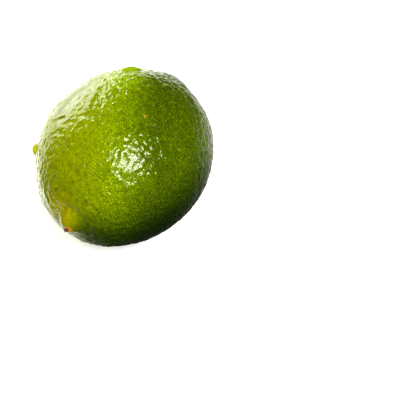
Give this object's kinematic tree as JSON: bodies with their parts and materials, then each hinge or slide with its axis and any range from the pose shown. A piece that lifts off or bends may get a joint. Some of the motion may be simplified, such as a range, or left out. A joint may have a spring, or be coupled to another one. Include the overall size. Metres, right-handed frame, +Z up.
{
  "type": "sweet lime",
  "caption": "Whole sweet lime as picked: a slightly long round fruit with a drooping nipple at the flower end, a lobed button at the stem end and a small flat spot to rest on.",
  "frame": {"origin": "middle of the small flat spot that the fruit rests on", "axes": "+X along the fruit towards the stem end, with the nipple at -X; +Z up"},
  "size_m": [0.0691, 0.0579, 0.0574],
  "materials": {
    "lime_skin": "waxed glossy citrus rind, finely pitted, green going over to yellow at the nipple"
  },
  "bodies": {
    "root": {"sweet_lime": "lime_skin"}
  },
  "joints": []
}
